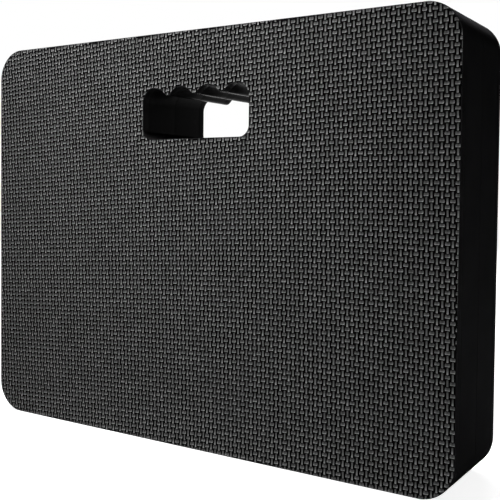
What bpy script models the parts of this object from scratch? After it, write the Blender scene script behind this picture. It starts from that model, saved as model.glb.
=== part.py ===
"""Kneeling pad: foam plies bonded between two weave-faced sheets and die-cut with a finger hold.

Metres, +Z up. The pad stands on its long edge. X runs along its width, the front face looks
along -Y, and the origin is on the ground under the middle of the pad.
"""

import math

import bmesh
import bpy
from mathutils import Matrix

# Outline of the die
PAD_WIDTH = 0.370
PAD_HEIGHT = 0.280
CORNER_RADIUS = 0.022
ARRIS_RADIUS = 0.0008

# Lay-up: a sheet, a core ply, a core ply and a sheet, with a bond film between each two
SHEET_THICKNESS = 0.006
CORE_PLY_THICKNESS = 0.0285
BOND_FILM_THICKNESS = 0.0004
BOND_CLEARANCE = 0.0003

# Hand hold: a scallop for each finger along its top edge, and ridges between them
FINGER_COUNT = 4
FINGER_PITCH = 0.0222
SCALLOP_DEPTH = 0.0054
RIDGE_RADIUS = 0.0041
HOLD_HEIGHT = 0.0348
HOLD_CORNER_RADIUS = 0.0075
GRIP_BAR_HEIGHT = 0.0369
HOLD_OFFSET = 0.0035

# Embossed weave: the grooves that part its upright rows of ribs, up to a margin inside the outline
WARP_PITCH = 0.00318
GROOVE_WIDTH = 0.0012
GROOVE_DEPTH = 0.0006
WEAVE_MARGIN = 0.0016

# Facets of the round stretches
DEGREES_PER_FACET = 10.0
ARRIS_FACETS = 3

# How far a cutting slab reaches past the form that it slices
SLAB_MARGIN = 0.010

# Colours and roughness of the foams
WEAVE_FOAM = ("weave_foam", (0.030, 0.030, 0.032), 0.55)
CORE_FOAM = ("core_foam", (0.012, 0.012, 0.013), 0.70)
BOND_GLUE = ("bond_glue", (0.018, 0.018, 0.018), 0.45)

# The plies from front to rear
LAY_UP = (
    ("front_weave_sheet", SHEET_THICKNESS, WEAVE_FOAM),
    ("front_bond_film", BOND_FILM_THICKNESS, BOND_GLUE),
    ("core_ply_front", CORE_PLY_THICKNESS, CORE_FOAM),
    ("middle_bond_film", BOND_FILM_THICKNESS, BOND_GLUE),
    ("core_ply_rear", CORE_PLY_THICKNESS, CORE_FOAM),
    ("rear_bond_film", BOND_FILM_THICKNESS, BOND_GLUE),
    ("rear_weave_sheet", SHEET_THICKNESS, WEAVE_FOAM),
)
PAD_THICKNESS = sum(thickness for _, thickness, _ in LAY_UP) + (len(LAY_UP) - 1) * BOND_CLEARANCE


def clear_scene():
    for old in list(bpy.data.objects):
        bpy.data.objects.remove(old, do_unlink=True)


def new_collection(name):
    collection = bpy.data.collections.new(name)
    bpy.context.scene.collection.children.link(collection)
    return collection


def foam_material(name, colour, roughness):
    """One Principled material for each kind of foam, shared by the plies made of it."""
    material = bpy.data.materials.get(name)
    if material is None:
        material = bpy.data.materials.new(name)
        material.use_nodes = True
        shader = material.node_tree.nodes["Principled BSDF"]
        shader.inputs["Base Color"].default_value = (*colour, 1.0)
        shader.inputs["Roughness"].default_value = roughness
        shader.inputs["Metallic"].default_value = 0.0
        material.diffuse_color = (*colour, 1.0)
    return material


def arc(centre, radius, start, end):
    """Points of an arc between two angles in degrees, both ends included."""
    facets = max(2, math.ceil(abs(end - start) / DEGREES_PER_FACET))
    angles = [math.radians(start + (end - start) * step / facets) for step in range(facets + 1)]
    return [(centre[0] + radius * math.cos(a), centre[1] + radius * math.sin(a)) for a in angles]


def pad_outline():
    """The rounded rectangle of the die, counter-clockwise, standing on the X axis."""
    right = PAD_WIDTH / 2 - CORNER_RADIUS
    top = PAD_HEIGHT - CORNER_RADIUS
    corners = ((right, top), (-right, top), (-right, CORNER_RADIUS), (right, CORNER_RADIUS))
    points = []
    for quarter, corner in enumerate(corners):
        points += arc(corner, CORNER_RADIUS, 90 * quarter, 90 * quarter + 90)
    return points


def hold_outline():
    """The hand hold, clockwise: a straight foot, two walls and a scalloped top.

    Scallop and ridge arcs meet in a common tangent, which fixes the sum of their radii. The two
    outer scallops turn down into the walls.
    """
    radii = ((FINGER_PITCH / 2) ** 2 + SCALLOP_DEPTH**2) / (2 * SCALLOP_DEPTH)
    scallop_radius = radii - RIDGE_RADIUS
    ridge_rise = radii - SCALLOP_DEPTH
    tangent = math.degrees(math.atan2(ridge_rise, FINGER_PITCH / 2))

    crown = PAD_HEIGHT - GRIP_BAR_HEIGHT
    foot = crown - HOLD_HEIGHT
    finger_row = (FINGER_COUNT - 1) * FINGER_PITCH
    right = HOLD_OFFSET + finger_row / 2 + scallop_radius
    left = HOLD_OFFSET - finger_row / 2 - scallop_radius
    scallop_z = crown - scallop_radius

    lower = foot + HOLD_CORNER_RADIUS
    points = arc((right - HOLD_CORNER_RADIUS, lower), HOLD_CORNER_RADIUS, -90, 0)
    for finger in range(FINGER_COUNT):
        x = right - scallop_radius - finger * FINGER_PITCH
        start = 0 if finger == 0 else tangent
        end = 180 if finger == FINGER_COUNT - 1 else 180 - tangent
        points += arc((x, scallop_z), scallop_radius, start, end)
        if finger < FINGER_COUNT - 1:
            ridge = (x - FINGER_PITCH / 2, scallop_z + ridge_rise)
            points += arc(ridge, RIDGE_RADIUS, -tangent, tangent - 180)[1:-1]
    points += arc((left + HOLD_CORNER_RADIUS, lower), HOLD_CORNER_RADIUS, 180, 270)
    return points[::-1]


def add_spline(curve, points):
    spline = curve.splines.new("POLY")
    spline.points.add(len(points) - 1)
    for control, (x, y) in zip(spline.points, points):
        control.co = (x, y, 0.0, 1.0)
    spline.use_cyclic_u = True


def outline_form(name, inset, arris, reach, collection):
    """The pad's outline, drawn in by an inset and run through from -reach to reach, as a hidden form."""
    curve = bpy.data.curves.new(name, "CURVE")
    curve.dimensions = "2D"
    curve.fill_mode = "BOTH"
    curve.extrude = reach - arris
    curve.bevel_depth = arris
    curve.bevel_resolution = ARRIS_FACETS
    curve.offset = -inset - arris
    add_spline(curve, pad_outline())
    add_spline(curve, hold_outline())
    outline = bpy.data.objects.new(name, curve)
    collection.objects.link(outline)
    outline.rotation_euler.x = math.pi / 2
    bpy.context.view_layer.update()

    evaluated = outline.evaluated_get(bpy.context.evaluated_depsgraph_get())
    mesh = bpy.data.meshes.new_from_object(evaluated)
    weld_caps(mesh)
    form = hidden_form(name, mesh, collection)
    form.matrix_world = outline.matrix_world
    bpy.data.objects.remove(outline, do_unlink=True)
    return form


def hidden_form(name, mesh, collection):
    form = bpy.data.objects.new(name, mesh)
    collection.objects.link(form)
    form.hide_render = True
    form.display_type = "WIRE"
    return form


def weld_caps(mesh):
    """Joins the loose caps of a filled curve to its sides, with every face pointing outwards."""
    work = bmesh.new()
    work.from_mesh(mesh)
    bmesh.ops.remove_doubles(work, verts=work.verts, dist=1e-6)
    bmesh.ops.recalc_face_normals(work, faces=work.faces)
    work.to_mesh(mesh)
    work.free()


def weave_grooves(collection):
    """Prisms of a diamond section along both faces, whose inner points press the grooves of the weave."""
    field = outline_form("weave_field", WEAVE_MARGIN, 0.0, PAD_THICKNESS / 2 + SLAB_MARGIN, collection)
    grooves_each_way = int(PAD_WIDTH / 2 / WARP_PITCH)
    work = bmesh.new()
    for face_y in (-PAD_THICKNESS / 2 - GROOVE_DEPTH, PAD_THICKNESS / 2 + GROOVE_DEPTH):
        for step in range(-grooves_each_way, grooves_each_way):
            place = Matrix.Translation(((step + 0.5) * WARP_PITCH, face_y, PAD_HEIGHT / 2))
            section = Matrix.Diagonal((GROOVE_WIDTH, 2 * GROOVE_DEPTH, 1.0, 1.0))
            bmesh.ops.create_cone(
                work, cap_ends=True, segments=4, radius1=1.0, radius2=1.0, depth=PAD_HEIGHT,
                matrix=place @ section)
    mesh = bpy.data.meshes.new("weave_grooves")
    work.to_mesh(mesh)
    work.free()
    grooves = hidden_form("weave_grooves", mesh, collection)
    add_boolean(grooves, "INTERSECT", field)
    return grooves


def add_boolean(target, operation, form):
    boolean = target.modifiers.new(form.name, "BOOLEAN")
    boolean.operation = operation
    boolean.solver = "EXACT"
    boolean.object = form


def add_ply(name, front, rear, foam, form, collection, carrier):
    """A slab between two planes across Y, trimmed to the die-cut form."""
    reach_x = PAD_WIDTH + 2 * SLAB_MARGIN
    reach_z = PAD_HEIGHT + 2 * SLAB_MARGIN
    work = bmesh.new()
    bmesh.ops.create_cube(work, size=1.0)
    bmesh.ops.scale(work, vec=(reach_x, rear - front, reach_z), verts=work.verts)
    mesh = bpy.data.meshes.new(name)
    work.to_mesh(mesh)
    work.free()
    ply = bpy.data.objects.new(name, mesh)
    collection.objects.link(ply)
    ply.parent = carrier
    ply.location = (0.0, (front + rear) / 2, PAD_HEIGHT / 2)
    mesh.materials.append(foam_material(*foam))
    add_boolean(ply, "INTERSECT", form)
    return ply


def main():
    clear_scene()
    pad = new_collection("kneeling_pad")
    dies = new_collection("die_cut_tools")
    form = outline_form("die_cut_form", 0.0, ARRIS_RADIUS, PAD_THICKNESS / 2, dies)
    grooves = weave_grooves(dies)
    carrier = bpy.data.objects.new("pad_foot", None)
    pad.objects.link(carrier)

    front = -PAD_THICKNESS / 2
    for index, (name, thickness, foam) in enumerate(LAY_UP):
        rear = front + thickness
        first = index == 0
        last = index == len(LAY_UP) - 1
        slab_front = front - SLAB_MARGIN if first else front
        slab_rear = rear + SLAB_MARGIN if last else rear
        ply = add_ply(name, slab_front, slab_rear, foam, form, pad, carrier)
        if first or last:
            add_boolean(ply, "DIFFERENCE", grooves)
        front = rear + BOND_CLEARANCE


main()
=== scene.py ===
"""Kneeling pad: the finished look of its foam, woven faces and cut edges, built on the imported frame."""

import math

import bmesh
import bpy
import numpy as np
from mathutils import Matrix, Vector


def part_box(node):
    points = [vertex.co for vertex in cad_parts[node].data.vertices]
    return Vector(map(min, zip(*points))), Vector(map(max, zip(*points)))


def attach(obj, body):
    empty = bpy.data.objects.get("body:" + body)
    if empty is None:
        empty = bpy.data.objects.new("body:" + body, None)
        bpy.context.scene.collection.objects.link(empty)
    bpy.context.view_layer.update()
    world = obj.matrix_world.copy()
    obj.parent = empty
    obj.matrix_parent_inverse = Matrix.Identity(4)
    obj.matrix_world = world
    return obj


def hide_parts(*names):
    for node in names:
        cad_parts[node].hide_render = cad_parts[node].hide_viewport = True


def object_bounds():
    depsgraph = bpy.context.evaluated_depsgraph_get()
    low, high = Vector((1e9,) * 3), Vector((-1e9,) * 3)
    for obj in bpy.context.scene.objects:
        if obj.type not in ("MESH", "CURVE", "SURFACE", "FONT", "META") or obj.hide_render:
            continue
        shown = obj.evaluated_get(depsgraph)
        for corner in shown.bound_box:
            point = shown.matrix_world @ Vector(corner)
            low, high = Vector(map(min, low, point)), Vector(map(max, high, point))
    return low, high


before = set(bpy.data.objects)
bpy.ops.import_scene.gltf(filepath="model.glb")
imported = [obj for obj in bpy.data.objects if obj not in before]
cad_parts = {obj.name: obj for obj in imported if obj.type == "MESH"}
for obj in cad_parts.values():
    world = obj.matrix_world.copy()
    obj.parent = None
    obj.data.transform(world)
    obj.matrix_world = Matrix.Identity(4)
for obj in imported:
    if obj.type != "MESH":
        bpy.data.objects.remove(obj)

bl_info = {
    "name": "Kneeling Pad",
    "version": (1, 0, 0),
    "blender": (4, 5, 0),
    "location": "View3D > Sidebar > Kneeling Pad",
    "description": "Builds a laminated foam kneeling pad with woven faces and a finger hold",
    "category": "Object",
}

# The imported pad's box
CAD_LOW, CAD_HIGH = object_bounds()
PAD_WIDTH = CAD_HIGH[0] - CAD_LOW[0]
PAD_HEIGHT = CAD_HIGH[2] - CAD_LOW[2]
FRONT_FACE = CAD_LOW[1]

# The photograph's frame in pixels, which the camera is fitted to
PHOTO_SIDE = 500.0
SENSOR_WIDTH = 36.0

WHITE = (1.0, 1.0, 1.0, 1.0)

# Degrees of one facet on a round stretch of the outline and on the arris
ARC_STEP = 4.0
ARRIS_STEP = 10

# The distance at which a point counts as far off from the hand hold
HOLD_REACH = 0.008

# Angles from which an edge is shaded sharp
WALL_SHARP = math.radians(40)
RIB_SHARP = math.radians(35)

# Material slots of a die-cut plate
OUTER_WALL, HOLD_WALL, WOVEN_FACE = range(3)
# Upward share of a normal from which the hold's wall is its floor
HOLD_FLOOR_RISE = 0.3

# Rings of a core ply as shares of its thickness, and how closely its hollow keeps to the two ends
CORE_RINGS = (0.0, 0.03, 0.1, 0.3, 0.7, 0.9, 0.97, 1.0)
HOLLOW_POWER = 6

# How far glue fills the seam on each side of its film, and how much deeper its edge lies there
SEAM_FILL = 0.00028
SEAM_DRAW = 0.0001

# An outer sheet: where its edge is full, as a share of the way from its inner face to its arris,
# and the insets of the rings inside that arris, in arris radii
FULL_EDGE = 0.25
RIM_RINGS = (1.2, 1.5, 1.8)
# The flat rim inside the outline, and the stretch over which the emboss then deepens
RIM_FLAT = 0.0001
RIM_SLOPE = 0.0007

# Depth of the fine grain in a foam or glue surface
GRAIN_DEPTH = 0.0002

# How much one rib may differ from the next: place, tilt and turn, and size
RIB_STRAY = 0.00004
RIB_TILT = 0.05
RIB_TURN = 0.025
SMALLEST_RIB = (0.96, 0.96, 0.92)
LARGEST_RIB = (1.04, 1.04, 1.04)
# Seeds of the fields of ribs, and the spare crossings past each edge of a field
FIRST_SEED = 11
SEED_STEP = 10
SPARE_CROSSINGS = 5
# How far a kept rib's middle may lie outside the outline, and the rim that its points keep to
RIB_OVERHANG = 0.0004
RIB_RIM = 0.00045
# Step of a slope measured on the face, and the least length that is divided by
SLOPE_STEP = 0.0001
LEAST_SLOPE = 1e-12

# Floor and surroundings of the stage
FLOOR_RADIUS = 6.0
FLOOR_FACETS = 96
FLOOR_DROP = 0.0004
FLOOR_GLOW = 0.88
AMBIENT_LIGHT = 0.065
NEAREST_VIEW = 0.01


class PadSizes(bpy.types.PropertyGroup):
    """Sizes of the die-cut outline, the hand hold and the cut edges."""

    corner_radius: bpy.props.FloatProperty(
        name="Corner radius", description="Radius of the pad's four corners",
        default=0.022, unit="LENGTH")
    arris_radius: bpy.props.FloatProperty(
        name="Arris radius", description="Rounding where a face meets the cut edge",
        default=0.0008, unit="LENGTH")
    finger_count: bpy.props.IntProperty(
        name="Fingers", description="Scallops along the top of the hand hold", default=4, min=1)
    finger_pitch: bpy.props.FloatProperty(
        name="Finger pitch", description="Distance between two scallops", default=0.0222, unit="LENGTH")
    scallop_depth: bpy.props.FloatProperty(
        name="Scallop depth", description="Rise of a scallop above its ridges",
        default=0.0054, unit="LENGTH")
    ridge_radius: bpy.props.FloatProperty(
        name="Ridge radius", description="Rounding of the ridges between fingers",
        default=0.0041, unit="LENGTH")
    hold_height: bpy.props.FloatProperty(
        name="Hold height", description="From the hold's foot to its scallops",
        default=0.0348, unit="LENGTH")
    hold_corner: bpy.props.FloatProperty(
        name="Hold corner", description="Radius of the hold's lower corners",
        default=0.0075, unit="LENGTH")
    grip_bar: bpy.props.FloatProperty(
        name="Grip bar", description="Foam above the hold's scallops", default=0.0369, unit="LENGTH")
    hold_offset: bpy.props.FloatProperty(
        name="Hold offset", description="Hold's centre, right of the pad's centre",
        default=0.0035, unit="LENGTH")
    edge_hollow: bpy.props.FloatProperty(
        name="Edge hollow", description="How far a cut edge draws in at its bond lines",
        default=0.00010, unit="LENGTH")
    glue_recess: bpy.props.FloatProperty(
        name="Glue recess", description="How far a bond line lies behind the cut edge",
        default=0.00010, unit="LENGTH")


class WeaveSizes(bpy.types.PropertyGroup):
    """Pitches of the embossed weave, how it drifts over the face, and its ribs."""

    warp_pitch: bpy.props.FloatProperty(
        name="Warp pitch", description="Distance between two upright threads",
        default=0.00318, unit="LENGTH")
    weft_pitch: bpy.props.FloatProperty(
        name="Weft pitch", description="Distance between two level threads",
        default=0.00334, unit="LENGTH")
    start: bpy.props.FloatVectorProperty(
        name="Start", description="Crossing nearest the face's middle, across and up", size=2,
        default=(0.0040, 0.0020), unit="LENGTH")
    warp_lean: bpy.props.FloatProperty(
        name="Warp lean", description="Lean of the upright threads to the left",
        default=math.radians(1.80), subtype="ANGLE")
    weft_rise: bpy.props.FloatProperty(
        name="Weft rise", description="Rise of the level threads to the right",
        default=math.radians(2.97), subtype="ANGLE")
    warp_crowding: bpy.props.FloatProperty(
        name="Warp crowding", description="How upright threads draw together to the right, per metre",
        default=0.120)
    warp_bow: bpy.props.FloatProperty(
        name="Warp bow", description="Bow of the upright threads, per metre", default=0.040)
    warp_fan: bpy.props.FloatProperty(
        name="Warp fan", description="Spread of the upright threads towards the top, per metre",
        default=0.058)
    weft_bow: bpy.props.FloatProperty(
        name="Weft bow", description="Bow of the level threads, per metre", default=0.118)
    weft_fan: bpy.props.FloatProperty(
        name="Weft fan", description="Spread of the level threads to the right, per metre",
        default=0.050)
    weft_bend: bpy.props.FloatProperty(
        name="Weft bend", description="Drop of the level threads at both ends, per square metre",
        default=0.37)
    weft_spread: bpy.props.FloatProperty(
        name="Weft spread", description="Spread of the level threads at top and foot, per square metre",
        default=0.42)
    rib_height: bpy.props.FloatProperty(
        name="Rib height", description="Height of a woven rib above the pits",
        default=0.00085, unit="LENGTH")
    warp_rib: bpy.props.FloatVectorProperty(
        name="Warp rib", description="Width and height of an upright rib at its root", size=2,
        default=(0.00156, 0.00414), unit="LENGTH")
    weft_rib: bpy.props.FloatVectorProperty(
        name="Weft rib", description="Width and height of a level rib at its root", size=2,
        default=(0.00330, 0.00210), unit="LENGTH")


class PadColours(bpy.types.PropertyGroup):
    """Colours of the foams, the glue and the floor."""

    rib_top: bpy.props.FloatVectorProperty(
        name="Rib top", description="Foam skin on top of a rib", default=(0.086, 0.086, 0.086),
        subtype="COLOR", min=0.0, max=1.0)
    # Painted shade: this near-black stands in for the shade in the weave's pits and on its rib flanks
    pit_shade: bpy.props.FloatVectorProperty(
        name="Pit", description="Foam in the pits of the weave", default=(0.0015, 0.0015, 0.0015),
        subtype="COLOR", min=0.0, max=1.0)
    cut_edge: bpy.props.FloatVectorProperty(
        name="Cut edge", description="Foam of the cut edges", default=(0.0092, 0.0092, 0.0095),
        subtype="COLOR", min=0.0, max=1.0)
    glue: bpy.props.FloatVectorProperty(
        name="Glue", description="Edge of a bond line", default=(0.0090, 0.0090, 0.0090),
        subtype="COLOR", min=0.0, max=1.0)
    floor: bpy.props.FloatVectorProperty(
        name="Floor", description="Floor under the pad", default=(0.85, 0.85, 0.85),
        subtype="COLOR", min=0.0, max=1.0)


class PadView(bpy.types.PropertyGroup):
    """The camera as it stood for the photograph."""

    position: bpy.props.FloatVectorProperty(
        name="Position", description="Camera's place in the pad's frame",
        default=(0.3339, -0.4807, 0.1731), subtype="TRANSLATION")
    yaw: bpy.props.FloatProperty(
        name="Yaw", description="Turn to the left from looking along Y",
        default=math.radians(33.22), subtype="ANGLE")
    pitch: bpy.props.FloatProperty(
        name="Pitch", description="Tilt down from level", default=math.radians(1.95), subtype="ANGLE")
    roll: bpy.props.FloatProperty(
        name="Roll", description="Turn about the line of sight",
        default=math.radians(-0.60), subtype="ANGLE")
    focal_pixels: bpy.props.FloatProperty(
        name="Focal length", description="Focal length in pixels of the photograph", default=831.3)
    centre_right: bpy.props.FloatProperty(
        name="Centre right", description="Optical centre, in pixels right of the picture's centre",
        default=-8.3)
    centre_above: bpy.props.FloatProperty(
        name="Centre above", description="Optical centre, in pixels above the picture's centre",
        default=30.1)


def sizes():
    return bpy.context.scene.kneeling_pad_sizes


def weave():
    return bpy.context.scene.kneeling_pad_weave


def colours():
    return bpy.context.scene.kneeling_pad_colours


# Outlines of the die

def arc(x, z, radius, start, end):
    """Points of an arc between two angles in degrees. The count depends on the angles alone."""
    count = max(2, math.ceil(abs(end - start) / ARC_STEP))
    angles = np.radians(np.linspace(start, end, count + 1))
    return np.column_stack((x + radius * np.cos(angles), z + radius * np.sin(angles)))


def pad_loop(inset):
    """The pad's outline, drawn in by inset, as points across X and Z."""
    radius = sizes().corner_radius
    right = PAD_WIDTH / 2 - radius
    top = PAD_HEIGHT - radius
    corners = ((right, top), (-right, top), (-right, radius), (right, radius))
    turns = [arc(x, z, radius - inset, 90 * n, 90 * n + 90) for n, (x, z) in enumerate(corners)]
    return np.vstack(turns)


def hold_loop(inset):
    """The hand hold's outline, widened by inset into the foam around it."""
    s = sizes()
    radii = ((s.finger_pitch / 2) ** 2 + s.scallop_depth**2) / (2 * s.scallop_depth)
    scallop = radii - s.ridge_radius
    rise = radii - s.scallop_depth
    tangent = math.degrees(math.atan2(rise, s.finger_pitch / 2))
    crown = PAD_HEIGHT - s.grip_bar
    lower = crown - s.hold_height + s.hold_corner
    row = (s.finger_count - 1) * s.finger_pitch
    right = s.hold_offset + row / 2
    last = s.finger_count - 1
    foot_reach = row / 2 + scallop - s.hold_corner
    stretches = [arc(s.hold_offset + foot_reach, lower, s.hold_corner + inset, -90, 0)]
    for finger in range(s.finger_count):
        x = right - finger * s.finger_pitch
        start = 0 if finger == 0 else tangent
        end = 180 if finger == last else 180 - tangent
        stretches.append(arc(x, crown - scallop, scallop + inset, start, end))
        if finger < last:
            ridge_x = x - s.finger_pitch / 2
            ridge_z = crown - scallop + rise
            ridge = arc(ridge_x, ridge_z, s.ridge_radius - inset, -tangent, tangent - 180)
            stretches.append(ridge[1:-1])
    stretches.append(arc(s.hold_offset - foot_reach, lower, s.hold_corner + inset, 180, 270))
    return np.vstack(stretches)


def pad_distance(points):
    """How far points across X and Z lie inside the pad's outline."""
    radius = sizes().corner_radius
    half = np.array((PAD_WIDTH / 2, PAD_HEIGHT / 2))
    reach = np.abs(points - (0.0, PAD_HEIGHT / 2)) - half + radius
    outside = np.linalg.norm(np.maximum(reach, 0.0), axis=1)
    return radius - outside - np.minimum(reach.max(axis=1), 0.0)


def hold_distance(points):
    """How far points lie outside the hand hold, up to a reach. It is negative within the hold."""
    loop = hold_loop(0.0)
    low = loop.min(axis=0) - HOLD_REACH
    high = loop.max(axis=0) + HOLD_REACH
    near = ((points > low) & (points < high)).all(axis=1)
    distance = np.full(len(points), HOLD_REACH)
    points = points[near]
    nearest = np.full(len(points), np.inf)
    within = np.zeros(len(points), bool)
    for a, b in zip(loop, np.roll(loop, -1, axis=0)):
        along = b - a
        share = np.clip((points - a) @ along / (along @ along), 0.0, 1.0)
        gap = np.linalg.norm(points - a - share[:, None] * along, axis=1)
        nearest = np.minimum(nearest, gap)
        if a[1] == b[1]:
            continue
        crosses = (a[1] > points[:, 1]) != (b[1] > points[:, 1])
        at_x = a[0] + (points[:, 1] - a[1]) * along[0] / along[1]
        within ^= crosses & (points[:, 0] < at_x)
    distance[near] = np.where(within, -nearest, nearest)
    return distance


def edge_distance(points):
    """How far points lie inside the foam, from the nearer of the outline and the hand hold."""
    return np.minimum(pad_distance(points), hold_distance(points))


# Mesh building

def finished(name, mesh, materials, replaced=()):
    """Links a finished mesh as a piece of the pad under the root body, and hides the parts it replaces."""
    for material in materials:
        mesh.materials.append(material)
    piece = bpy.data.objects.new(name, mesh)
    bpy.context.scene.collection.objects.link(piece)
    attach(piece, "root")
    if replaced:
        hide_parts(*replaced)
    return piece


def die_cut_mesh(name, rings, face_from=None):
    """A closed plate with the pad's outline and hand hold.

    Rings are (inset, y) from one face to the other. The plate takes three materials: the outline's
    wall and the hold's floor, the rest of the hold's wall and, from the ring face_from on, the face.
    """
    work = bmesh.new()
    edges_of = {}
    for loop in (pad_loop, hold_loop):
        rows = []
        for inset, y in rings:
            rows.append([work.verts.new((x, y, z)) for x, z in loop(inset)])
        count = len(rows[0])
        for ring, (near, far) in enumerate(zip(rows, rows[1:])):
            for i in range(count):
                j = (i + 1) % count
                wall = work.faces.new((near[i], near[j], far[j], far[i]))
                wall.material_index = HOLD_WALL if loop is hold_loop else OUTER_WALL
                if face_from is not None and ring >= face_from:
                    wall.material_index = WOVEN_FACE
        for end in (0, -1):
            row = rows[end]
            ends = [work.edges.get((row[i], row[(i + 1) % count])) for i in range(count)]
            edges_of.setdefault(end, []).extend(ends)
    for end, edges in edges_of.items():
        filled = bmesh.ops.triangle_fill(work, edges=edges, use_beauty=True)
        for face in filled["geom"]:
            if isinstance(face, bmesh.types.BMFace):
                plain = end == 0 or face_from is None
                face.material_index = OUTER_WALL if plain else WOVEN_FACE
    bmesh.ops.recalc_face_normals(work, faces=work.faces)
    for face in work.faces:
        face.smooth = True
        if face.material_index == HOLD_WALL and face.normal.z > HOLD_FLOOR_RISE:
            face.material_index = OUTER_WALL
    mesh = bpy.data.meshes.new(name)
    work.to_mesh(mesh)
    work.free()
    mesh.set_sharp_from_angle(angle=WALL_SHARP)
    return mesh


def arris_drop(distance):
    """How far the rounded arris lies below the face, at a distance inside the outline."""
    radius = sizes().arris_radius
    short = np.clip(radius - np.asarray(distance, float), 0.0, radius)
    return radius - np.sqrt(radius**2 - short**2)


def emboss_share(distance):
    """Share of the full rib height at a distance inside the outline: the die presses the rim flat."""
    share = np.clip((np.asarray(distance, float) - RIM_FLAT) / RIM_SLOPE, 0.0, 1.0)
    return share * share * (3.0 - 2.0 * share)


# Node trees

# Sockets of a Mix node that mixes colours
MIX_SHARE, MIX_FIRST, MIX_SECOND = 0, 6, 7
MIX_COLOUR = 2


class NodeMaker:
    """A short way to add and link the nodes of one tree."""

    def __init__(self, tree):
        self.tree = tree

    def add(self, kind, settings=None, **inputs):
        node = self.tree.nodes.new(kind)
        for key, value in (settings or {}).items():
            setattr(node, key, value)
        for key, value in inputs.items():
            self.put(node.inputs[key.replace("_", " ")], value)
        return node

    def put(self, socket, value):
        if isinstance(value, bpy.types.NodeSocket):
            self.tree.links.new(value, socket)
        else:
            socket.default_value = value

    def math(self, operation, first, second=0.0):
        node = self.add("ShaderNodeMath", {"operation": operation})
        self.put(node.inputs[0], first)
        self.put(node.inputs[1], second)
        return node.outputs[0]

    def ramp(self, value, low, high, start, end):
        """Maps a value between low and high onto start to end."""
        node = self.add("ShaderNodeMapRange")
        for socket, number in zip(node.inputs, (value, low, high, start, end)):
            self.put(socket, number)
        return node.outputs["Result"]

    def seen(self):
        """1 for rays that show the background, straight or by gloss or glass, and 0 for other rays."""
        path = self.add("ShaderNodeLightPath").outputs
        straight = self.math("MAXIMUM", path["Is Camera Ray"], path["Is Transmission Ray"])
        return self.math("MAXIMUM", straight, path["Is Glossy Ray"])


class Shading(NodeMaker):
    """The nodes of one material around its Principled shader."""

    def __init__(self, name):
        self.material = bpy.data.materials.new(name)
        self.material.use_nodes = True
        super().__init__(self.material.node_tree)
        self.shader = self.tree.nodes["Principled BSDF"]

    def place(self):
        return self.add("ShaderNodeTexCoord").outputs["Object"]

    def noise(self, where, scale, detail=3.0):
        node = self.add("ShaderNodeTexNoise", Vector=where, Scale=scale, Detail=detail)
        return node.outputs["Fac"]

    def mix(self, share, first, second):
        node = self.add("ShaderNodeMix", {"data_type": "RGBA"})
        self.put(node.inputs[MIX_SHARE], share)
        self.put(node.inputs[MIX_FIRST], first)
        self.put(node.inputs[MIX_SECOND], second)
        return node.outputs[MIX_COLOUR]

    def grain(self, height, strength):
        node = self.add("ShaderNodeBump", Height=height, Strength=strength, Distance=GRAIN_DEPTH)
        return node.outputs["Normal"]

    def finish(self, **inputs):
        for key, value in inputs.items():
            self.put(self.shader.inputs[key.replace("_", " ")], value)
        return self.material


# Materials

def shade(colour, factor):
    return tuple(channel * factor for channel in colour) + (1.0,)


def woven_skin():
    """Embossed foam skin: a painted highlight that brightens the rib tops and lips, painted shade that
    darkens the flanks into the pits, and a fine grain.
    """
    m = Shading("woven_skin")
    c = colours()
    where = m.place()
    depth = m.math("ABSOLUTE", m.add("ShaderNodeSeparateXYZ", Vector=where).outputs["Y"])
    top = abs(FRONT_FACE)
    rib = weave().rib_height
    # Painted shade: from these depths down the skin darkens into the near-black pit colour, standing in for
    # the shade on the flanks and in the pits
    shade_full_depth = top - 0.70 * rib
    shade_clear_depth = top - 0.45 * rib
    highlight_begins = top - 0.38 * rib
    rise = m.ramp(depth, low=shade_full_depth, high=shade_clear_depth, start=0.0, end=1.0)
    # Painted highlight: towards the highest tops and lips the skin grows up to 3.4 times brighter, as if
    # lit there
    painted_highlight = m.ramp(depth, low=highlight_begins, high=top, start=0.0, end=1.0)
    mottle = m.noise(where, scale=260.0)
    body = m.mix(mottle, shade(c.rib_top, 0.55), shade(c.rib_top, 0.85))
    tops = m.mix(painted_highlight, body, shade(c.rib_top, 3.4))
    skin = m.mix(rise, shade(c.pit_shade, 1.0), tops)
    grain = m.noise(where, scale=3200.0, detail=2.0)
    rough = m.ramp(m.noise(where, scale=420.0), low=0.3, high=0.7, start=0.40, end=0.56)
    return m.finish(
        Base_Color=skin, Roughness=rough, Normal=m.grain(grain, strength=0.25), Specular_IOR_Level=0.12)


def pit_shade_foam():
    """Painted shade: near-black foam on the floor of the weave's pits and the flanks of its ribs, where
    shade falls.
    """
    m = Shading("pit_shade_foam")
    grain = m.noise(m.place(), scale=2600.0, detail=2.0)
    foam = m.mix(grain, shade(colours().pit_shade, 0.6), shade(colours().pit_shade, 1.4))
    return m.finish(
        Base_Color=foam, Roughness=0.75, Normal=m.grain(grain, strength=0.2), Specular_IOR_Level=0.0)


def cut_foam(name, gloss, roughness, relief_strength):
    """Die-cut closed-cell foam: close to black, with tiny cells and faint drag marks of the blade."""
    m = Shading(name)
    c = colours()
    where = m.place()
    cells = m.add("ShaderNodeTexVoronoi", Vector=where, Scale=1500.0).outputs["Distance"]
    patches = m.noise(where, scale=38.0, detail=4.0)
    stretch = m.add("ShaderNodeMapping", Vector=where, Scale=(900.0, 25.0, 900.0)).outputs["Vector"]
    drag = m.noise(stretch, scale=1.0, detail=2.0)
    tone = m.mix(patches, shade(c.cut_edge, 0.7), shade(c.cut_edge, 1.35))
    relief = m.math("ADD", m.math("MULTIPLY", cells, 0.6), m.math("MULTIPLY", drag, 0.8))
    rough = m.ramp(patches, low=0.35, high=0.65, start=roughness - 0.04, end=roughness + 0.04)
    return m.finish(
        Base_Color=tone, Roughness=rough, Normal=m.grain(relief, relief_strength), Specular_IOR_Level=gloss)


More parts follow.
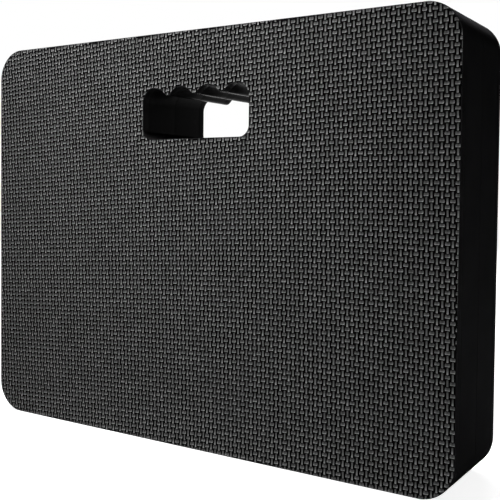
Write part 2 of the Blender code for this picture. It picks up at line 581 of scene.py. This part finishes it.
def bond_line():
    """The cut edge of a glue film, a little smoother than the foam."""
    m = Shading("bond_line")
    beads = m.noise(m.place(), scale=700.0)
    tone = m.mix(beads, shade(colours().glue, 0.6), shade(colours().glue, 1.4))
    rough = m.ramp(beads, low=0.3, high=0.7, start=0.38, end=0.55)
    return m.finish(
        Base_Color=tone, Roughness=rough, Normal=m.grain(beads, strength=0.3), Specular_IOR_Level=0.0)


# Woven ribs

# A rib from its lower to its upper edge: place along it, height, breadth, and how far the crown
# cups it there. Its lower lip stands highest.
WEFT_PROFILE = (
    (-1.0, 0.0, 0.78, 1.0), (-0.84, 0.97, 0.90, 0.2), (-0.40, 0.74, 1.0, 1.0),
    (0.20, 0.60, 1.0, 1.0), (0.84, 0.46, 0.88, 1.0), (1.0, 0.0, 0.80, 1.0),
)
WARP_PROFILE = (
    (-1.0, 0.0, 0.70, 1.0), (-0.93, 0.94, 0.92, 1.0), (-0.68, 0.86, 1.0, 1.0),
    (-0.10, 0.72, 0.94, 1.0), (0.55, 0.62, 0.94, 1.0), (0.90, 0.40, 0.90, 1.0),
    (1.0, 0.0, 0.80, 1.0),
)
# A rib from side to side: place across it and share of the profile's height
WEFT_CROWN = ((-1.0, 0.0), (-0.91, 0.98), (0.0, 0.66), (0.91, 1.04), (1.0, 0.0))
WARP_CROWN = ((-1.0, 0.0), (-0.76, 0.88), (0.0, 0.90), (0.76, 1.0), (1.0, 0.0))
# How deep a rib's foot is set into the foam, and the mark on the faces of its flanks
RIB_ROOT = -0.00015
# The marked flank faces take the near-black pit material: painted shade
FLANK = "flank"


def rib_template(name, width, height, profile, crown):
    """One woven rib seen flat, X across and Y up, rising in Z: a closed pillow with a cupped top."""
    work = bmesh.new()
    rows = []
    for up, lift, breadth, cup in profile:
        row = []
        for across, share in crown:
            top = lift * (1.0 - cup * (1.0 - share))
            z = weave().rib_height * top if lift * share > 0.0 else RIB_ROOT
            row.append(work.verts.new((across * breadth * width / 2, up * height / 2, z)))
        rows.append(row)
    for near, far in zip(rows, rows[1:]):
        for k in range(len(crown) - 1):
            work.faces.new((near[k], near[k + 1], far[k + 1], far[k]))
    right = [row[-1] for row in rows[1:]]
    left = [row[0] for row in rows[-2:0:-1]]
    work.faces.new(rows[0] + right + rows[-1][-2::-1] + left)
    bmesh.ops.recalc_face_normals(work, faces=work.faces)
    for face in work.faces:
        face.smooth = True
    flanks = [min(vert.co.z for vert in face.verts) < 0.0 for face in work.faces]
    mesh = bpy.data.meshes.new(name)
    work.to_mesh(mesh)
    work.free()
    mesh.attributes.new(FLANK, "BOOLEAN", "FACE").data.foreach_set("value", flanks)
    mesh.set_sharp_from_angle(angle=RIB_SHARP)
    return bpy.data.objects.new(name, mesh)


def weave_tree():
    """Ribs on a grid of every other crossing, each a little unlike its neighbours."""
    tree = bpy.data.node_groups.new("weave_ribs", "GeometryNodeTree")
    tree.is_modifier = True
    for name, kind in (
        ("Warp Pitch", "Float"), ("Weft Pitch", "Float"), ("Columns", "Int"), ("Rows", "Int"),
        ("First Column", "Int"), ("First Row", "Int"), ("Seed", "Int"),
        ("Rib", "Object"), ("Skin", "Material"), ("Flank", "Material"),
    ):
        tree.interface.new_socket(name=name, in_out="INPUT", socket_type=f"NodeSocket{kind}")
    tree.interface.new_socket(name="Geometry", in_out="OUTPUT", socket_type="NodeSocketGeometry")
    t = NodeMaker(tree)
    given = t.add("NodeGroupInput").outputs

    def scatter(low, high, step):
        node = t.add("FunctionNodeRandomValue", {"data_type": "FLOAT_VECTOR"})
        t.put(node.inputs[0], low)
        t.put(node.inputs[1], high)
        t.put(node.inputs["Seed"], t.math("ADD", given["Seed"], step))
        return node.outputs[0]

    grid = t.add("GeometryNodeMeshGrid")
    for axis, count, pitch in (("X", "Columns", "Warp Pitch"), ("Y", "Rows", "Weft Pitch")):
        steps = t.math("MULTIPLY", t.math("SUBTRACT", given[count], 1), 2)
        t.put(grid.inputs[f"Vertices {axis}"], given[count])
        t.put(grid.inputs[f"Size {axis}"], t.math("MULTIPLY", given[pitch], steps))

    start = t.add(
        "ShaderNodeCombineXYZ",
        X=t.math("MULTIPLY", given["First Column"], given["Warp Pitch"]),
        Y=t.math("MULTIPLY", given["First Row"], given["Weft Pitch"]))
    stray = t.add("ShaderNodeVectorMath", {"operation": "ADD"})
    t.put(stray.inputs[0], start.outputs[0])
    t.put(stray.inputs[1], scatter((-RIB_STRAY, -RIB_STRAY, 0.0), (RIB_STRAY, RIB_STRAY, 0.0), 1))
    placed = t.add("GeometryNodeSetPosition", Geometry=grid.outputs["Mesh"], Offset=stray.outputs[0])

    rib = t.add("GeometryNodeObjectInfo", {"transform_space": "ORIGINAL"}, Object=given["Rib"])
    laid = t.add(
        "GeometryNodeInstanceOnPoints",
        Points=placed.outputs[0],
        Instance=rib.outputs["Geometry"],
        Rotation=scatter((-RIB_TILT, -RIB_TILT, -RIB_TURN), (RIB_TILT, RIB_TILT, RIB_TURN), 2),
        Scale=scatter(SMALLEST_RIB, LARGEST_RIB, 3))

    whole = t.add("GeometryNodeRealizeInstances", Geometry=laid.outputs[0])
    skinned = t.add("GeometryNodeSetMaterial", Geometry=whole.outputs[0], Material=given["Skin"])
    # Painted shade: the rib flanks take the near-black pit material
    flank = t.add("GeometryNodeInputNamedAttribute", {"data_type": "BOOLEAN"}, Name=FLANK)
    darkened = t.add(
        "GeometryNodeSetMaterial",
        Geometry=skinned.outputs[0], Selection=flank.outputs["Attribute"], Material=given["Flank"])
    t.add("NodeGroupOutput", Geometry=darkened.outputs[0])
    return tree


def woven_mesh(name, tree, rib, skins, first, seed):
    """A flat field of like ribs around a first crossing, as a plain mesh with the ribs rising in Z."""
    w = weave()
    holder = bpy.data.objects.new(name, bpy.data.meshes.new(name))
    bpy.context.scene.collection.objects.link(holder)
    modifier = holder.modifiers.new("weave", "NODES")
    modifier.node_group = tree
    values = {
        "Warp Pitch": w.warp_pitch, "Weft Pitch": w.weft_pitch,
        "Columns": 2 * round(PAD_WIDTH / w.warp_pitch / 4) + 1 + 2 * SPARE_CROSSINGS,
        "Rows": 2 * round(PAD_HEIGHT / w.weft_pitch / 4) + 1 + 2 * SPARE_CROSSINGS,
        "First Column": first[0], "First Row": first[1], "Seed": seed, "Rib": rib,
        "Skin": skins[0], "Flank": skins[1],
    }
    for item in tree.interface.items_tree:
        if item.in_out == "INPUT":
            modifier[item.identifier] = values[item.name]
    bpy.context.view_layer.update()
    evaluated = holder.evaluated_get(bpy.context.evaluated_depsgraph_get())
    mesh = bpy.data.meshes.new_from_object(evaluated)
    mesh.name = name
    mesh.attributes.remove(mesh.attributes[FLANK])
    bpy.data.objects.remove(holder, do_unlink=True)
    return mesh


def drifted(across, up):
    """Where the weave's even grid lies on the face: its threads lean, rise, bow and crowd a little."""
    w = weave()
    x = w.start[0] + across - math.tan(w.warp_lean) * up
    x += w.warp_fan * across * up - w.warp_crowding * across**2 - w.warp_bow * up**2
    z = w.start[1] + up + math.tan(w.weft_rise) * across
    z += w.weft_fan * across * up - w.weft_bow * across**2 - w.weft_bend * across**3
    z += w.weft_spread * (up + across) * up**2
    return np.column_stack((x, z + PAD_HEIGHT / 2))


def press_on_face(mesh, rib_points, face_sign):
    """Lays a flat field of ribs on the front or rear face, drawn in at the outline and the hold."""
    flat = np.empty(len(mesh.vertices) * 3, np.float32)
    mesh.vertices.foreach_get("co", flat)
    flat = flat.reshape(-1, 3).astype(float)
    plan = drifted(flat[:, 0], flat[:, 1])
    plan[:, 0] *= -face_sign
    centres = plan.reshape(-1, rib_points, 2).mean(axis=1)
    kept = edge_distance(centres) > -RIB_OVERHANG
    inside = edge_distance(plan)
    stray = inside < RIB_RIM
    points = plan[stray]
    slope = np.column_stack([
        edge_distance(points + move) - edge_distance(points - move)
        for move in np.array(((SLOPE_STEP, 0.0), (0.0, SLOPE_STEP)))
    ])
    slope /= np.maximum(np.linalg.norm(slope, axis=1, keepdims=True), LEAST_SLOPE)
    plan[stray] = points + slope * (RIB_RIM - inside[stray])[:, None]
    inside = edge_distance(plan)
    below = np.maximum(weave().rib_height - flat[:, 2], 0.0)
    depth = abs(FRONT_FACE) - arris_drop(inside) - below * emboss_share(inside)
    placed = np.column_stack((plan[:, 0], face_sign * depth, plan[:, 1]))
    mesh.vertices.foreach_set("co", placed.astype(np.float32).ravel())
    mesh.update()
    drop_ribs(mesh, np.repeat(~kept, rib_points))
    return mesh


def drop_ribs(mesh, dropped):
    """Deletes the ribs whose points are marked as dropped."""
    work = bmesh.new()
    work.from_mesh(mesh)
    work.verts.ensure_lookup_table()
    bmesh.ops.delete(work, geom=[work.verts[i] for i in np.flatnonzero(dropped)], context="VERTS")
    work.to_mesh(mesh)
    work.free()


# Operators

class PadPiece:
    """What all the pad's operators share."""

    bl_options = {"REGISTER", "UNDO"}


class KNEELINGPAD_OT_core(PadPiece, bpy.types.Operator):
    """Builds the two plain foam plies of the core, with smooth die-cut edges"""

    bl_idname = "kneeling_pad.core"
    bl_label = "Core plies"

    def execute(self, context):
        foams = (
            cut_foam("cut_foam", gloss=0.0, roughness=0.70, relief_strength=0.18),
            cut_foam("hold_foam", gloss=0.011, roughness=0.26, relief_strength=0.05),
        )
        hollow = sizes().edge_hollow
        for name, node in (
            ("core_front_foam", "core_ply_front"), ("core_rear_foam", "core_ply_rear"),
        ):
            low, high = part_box(node)
            rings = []
            for share in CORE_RINGS:
                inset = hollow * abs(2 * share - 1) ** HOLLOW_POWER
                rings.append((inset, low.y + (high.y - low.y) * share))
            finished(name, die_cut_mesh(name, rings), foams, [node])
        return {"FINISHED"}


class KNEELINGPAD_OT_glue(PadPiece, bpy.types.Operator):
    """Builds the three bond lines that fill the seams between the plies"""

    bl_idname = "kneeling_pad.glue"
    bl_label = "Bond lines"

    def execute(self, context):
        glues = (bond_line(), bpy.data.materials["hold_foam"])
        recess = sizes().glue_recess
        edge = recess + SEAM_DRAW
        for node in ("front_bond_film", "middle_bond_film", "rear_bond_film"):
            low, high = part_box(node)
            name = node.replace("film", "line")
            middle = (low.y + high.y) / 2
            rings = ((edge, low.y - SEAM_FILL), (recess, middle), (edge, high.y + SEAM_FILL))
            finished(name, die_cut_mesh(name, rings), glues, [node])
        return {"FINISHED"}


class KNEELINGPAD_OT_sheets(PadPiece, bpy.types.Operator):
    """Builds the two outer foam sheets, sunk by the depth of the weave inside their rounded rims"""

    bl_idname = "kneeling_pad.sheets"
    bl_label = "Outer sheets"

    def execute(self, context):
        s = sizes()
        # The sheet's face between the ribs takes the near-black pit material: painted shade
        foams = (bpy.data.materials["cut_foam"], bpy.data.materials["hold_foam"], pit_shade_foam())
        for name, node, sign in (
            ("front_sheet_foam", "front_weave_sheet", -1.0),
            ("rear_sheet_foam", "rear_weave_sheet", 1.0),
        ):
            low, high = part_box(node)
            inner = high.y if sign < 0 else low.y
            start = sign * (abs(FRONT_FACE) - s.arris_radius)
            rings = [(s.edge_hollow, inner), (0.0, inner + FULL_EDGE * (start - inner)), (0.0, start)]
            turns = [math.radians(angle) for angle in range(ARRIS_STEP, 91, ARRIS_STEP)]
            face_from = len(rings) + len(turns) - 1
            shares = [1 - math.cos(turn) for turn in turns] + list(RIM_RINGS)
            for share in shares:
                inset = share * s.arris_radius
                rings.append((inset, sign * self.depth(inset)))
            mesh = die_cut_mesh(name, rings, face_from)
            finished(name, mesh, foams, [node])
        return {"FINISHED"}

    def depth(self, inset):
        """How far the sheet's face lies from the pad's middle, at an inset from the outline."""
        sunk = weave().rib_height * float(emboss_share(inset))
        return abs(FRONT_FACE) - float(arris_drop(inset)) - sunk


class KNEELINGPAD_OT_weave(PadPiece, bpy.types.Operator):
    """Lays the upright and level ribs of the woven emboss on both faces"""

    bl_idname = "kneeling_pad.weave"
    bl_label = "Woven ribs"

    def execute(self, context):
        # The ribs' flanks take the near-black pit material, which is painted shade
        skins = (woven_skin(), bpy.data.materials["pit_shade_foam"])
        tree = weave_tree()
        weft = rib_template("weft_rib", *weave().weft_rib, WEFT_PROFILE, WEFT_CROWN)
        warp = rib_template("warp_rib", *weave().warp_rib, WARP_PROFILE, WARP_CROWN)
        seed = FIRST_SEED
        for side, sign in (("front", -1.0), ("rear", 1.0)):
            for thread, rib, first in (
                ("even_weft", weft, (0, 0)), ("odd_weft", weft, (1, 1)),
                ("even_warp", warp, (0, 1)), ("odd_warp", warp, (1, 0)),
            ):
                name = f"{side}_{thread}_ribs"
                mesh = woven_mesh(name, tree, rib, skins, first, seed)
                press_on_face(mesh, len(rib.data.vertices), sign)
                finished(name, mesh, ())
                seed += SEED_STEP
        for rib in (weft, warp):
            bpy.data.objects.remove(rib, do_unlink=True)
        return {"FINISHED"}


class KNEELINGPAD_OT_stage(PadPiece, bpy.types.Operator):
    """Sets the floor, the white surroundings, the soft lights and the camera"""

    bl_idname = "kneeling_pad.stage"
    bl_label = "Stage"

    def execute(self, context):
        self.floor()
        self.surroundings(context.scene)
        self.lamps()
        self.camera(context.scene)
        context.scene.view_settings.view_transform = "Standard"
        return {"FINISHED"}

    def floor(self):
        m = Shading("studio_floor")
        m.finish(Base_Color=shade(colours().floor, 1.0), Roughness=0.9, Specular_IOR_Level=0.1)
        strength = m.math("MULTIPLY", m.seen(), FLOOR_GLOW)
        glow = m.add("ShaderNodeEmission", Color=WHITE, Strength=strength)
        both = m.add("ShaderNodeAddShader")
        m.put(both.inputs[0], m.shader.outputs[0])
        m.put(both.inputs[1], glow.outputs[0])
        m.put(m.tree.nodes["Material Output"].inputs["Surface"], both.outputs[0])
        mesh = bpy.data.meshes.new("studio_floor")
        work = bmesh.new()
        bmesh.ops.create_circle(work, cap_ends=True, segments=FLOOR_FACETS, radius=FLOOR_RADIUS)
        work.to_mesh(mesh)
        work.free()
        mesh.materials.append(m.material)
        floor = bpy.data.objects.new("studio_floor", mesh)
        bpy.context.scene.collection.objects.link(floor)
        floor.location.z = -FLOOR_DROP

    def surroundings(self, scene):
        world = bpy.data.worlds.new("studio_white")
        world.use_nodes = True
        world.node_tree.nodes.clear()
        n = NodeMaker(world.node_tree)
        strength = n.ramp(n.seen(), low=0.0, high=1.0, start=AMBIENT_LIGHT, end=1.0)
        background = n.add("ShaderNodeBackground", Color=WHITE, Strength=strength)
        n.add("ShaderNodeOutputWorld", Surface=background.outputs[0])
        scene.world = world

    def lamps(self):
        middle = (0.0, 0.0, PAD_HEIGHT / 2)
        grip = (-0.07, FRONT_FACE, 0.29)
        corner = (PAD_WIDTH / 2, 0.0, PAD_HEIGHT)
        for name, place, aim, side, spread, power in (
            ("key_softbox", (-0.17, -0.46, 0.71), grip, 0.25, 57, 1.24),
            ("low_fill", (-0.10, -1.30, 0.25), middle, 0.8, 180, 0.4),
            ("rear_fill", (-0.6, 1.4, 1.1), middle, 1.2, 180, 18.0),
            ("corner_kicker", (0.02, 0.08, 0.62), corner, 0.10, 34, 0.8),
        ):
            light = bpy.data.lights.new(name, "AREA")
            light.shape = "SQUARE"
            light.size = side
            light.spread = math.radians(spread)
            light.energy = power
            lamp = bpy.data.objects.new(name, light)
            bpy.context.scene.collection.objects.link(lamp)
            lamp.location = place
            lamp.rotation_euler = (Vector(aim) - Vector(place)).to_track_quat("-Z", "Y").to_euler()

    def camera(self, scene):
        view = scene.kneeling_pad_view
        ahead = Vector((
            -math.sin(view.yaw) * math.cos(view.pitch), math.cos(view.yaw) * math.cos(view.pitch),
            -math.sin(view.pitch),
        ))
        level = Vector((math.cos(view.yaw), math.sin(view.yaw), 0.0))
        down = ahead.cross(level)
        right = math.cos(view.roll) * level + math.sin(view.roll) * down
        below = math.cos(view.roll) * down - math.sin(view.roll) * level
        data = bpy.data.cameras.new("photo_camera")
        data.sensor_width = SENSOR_WIDTH
        data.lens = view.focal_pixels / PHOTO_SIDE * SENSOR_WIDTH
        data.shift_x = -view.centre_right / PHOTO_SIDE
        data.shift_y = -view.centre_above / PHOTO_SIDE
        data.clip_start = NEAREST_VIEW
        camera = bpy.data.objects.new("photo_camera", data)
        scene.collection.objects.link(camera)
        turn = Matrix((right, -below, -ahead)).transposed()
        camera.matrix_world = Matrix.Translation(view.position) @ turn.to_4x4()
        scene.camera = camera


class KNEELINGPAD_PT_sidebar(bpy.types.Panel):
    """Lists the pad's sizes, colours, view and pieces"""

    bl_idname = "KNEELINGPAD_PT_sidebar"
    bl_label = "Kneeling Pad"
    bl_space_type = "VIEW_3D"
    bl_region_type = "UI"
    bl_category = "Kneeling Pad"

    def draw(self, context):
        for name, _ in GROUPS:
            group = getattr(context.scene, name)
            box = self.layout.box()
            for value in group.__annotations__:
                box.prop(group, value)
        for step in STEPS:
            self.layout.operator(step.bl_idname)


STEPS = (
    KNEELINGPAD_OT_core, KNEELINGPAD_OT_glue, KNEELINGPAD_OT_sheets,
    KNEELINGPAD_OT_weave, KNEELINGPAD_OT_stage,
)
GROUPS = (
    ("kneeling_pad_sizes", PadSizes), ("kneeling_pad_weave", WeaveSizes),
    ("kneeling_pad_colours", PadColours), ("kneeling_pad_view", PadView),
)


def register():
    for name, group in GROUPS:
        bpy.utils.register_class(group)
        setattr(bpy.types.Scene, name, bpy.props.PointerProperty(type=group))
    for step in STEPS:
        bpy.utils.register_class(step)
    bpy.utils.register_class(KNEELINGPAD_PT_sidebar)


def unregister():
    bpy.utils.unregister_class(KNEELINGPAD_PT_sidebar)
    for step in reversed(STEPS):
        bpy.utils.unregister_class(step)
    for name, group in reversed(GROUPS):
        delattr(bpy.types.Scene, name)
        bpy.utils.unregister_class(group)


def main():
    register()
    bpy.ops.kneeling_pad.core()
    bpy.ops.kneeling_pad.glue()
    bpy.ops.kneeling_pad.sheets()
    bpy.ops.kneeling_pad.weave()
    bpy.ops.kneeling_pad.stage()


if __name__ == "__main__":
    main()
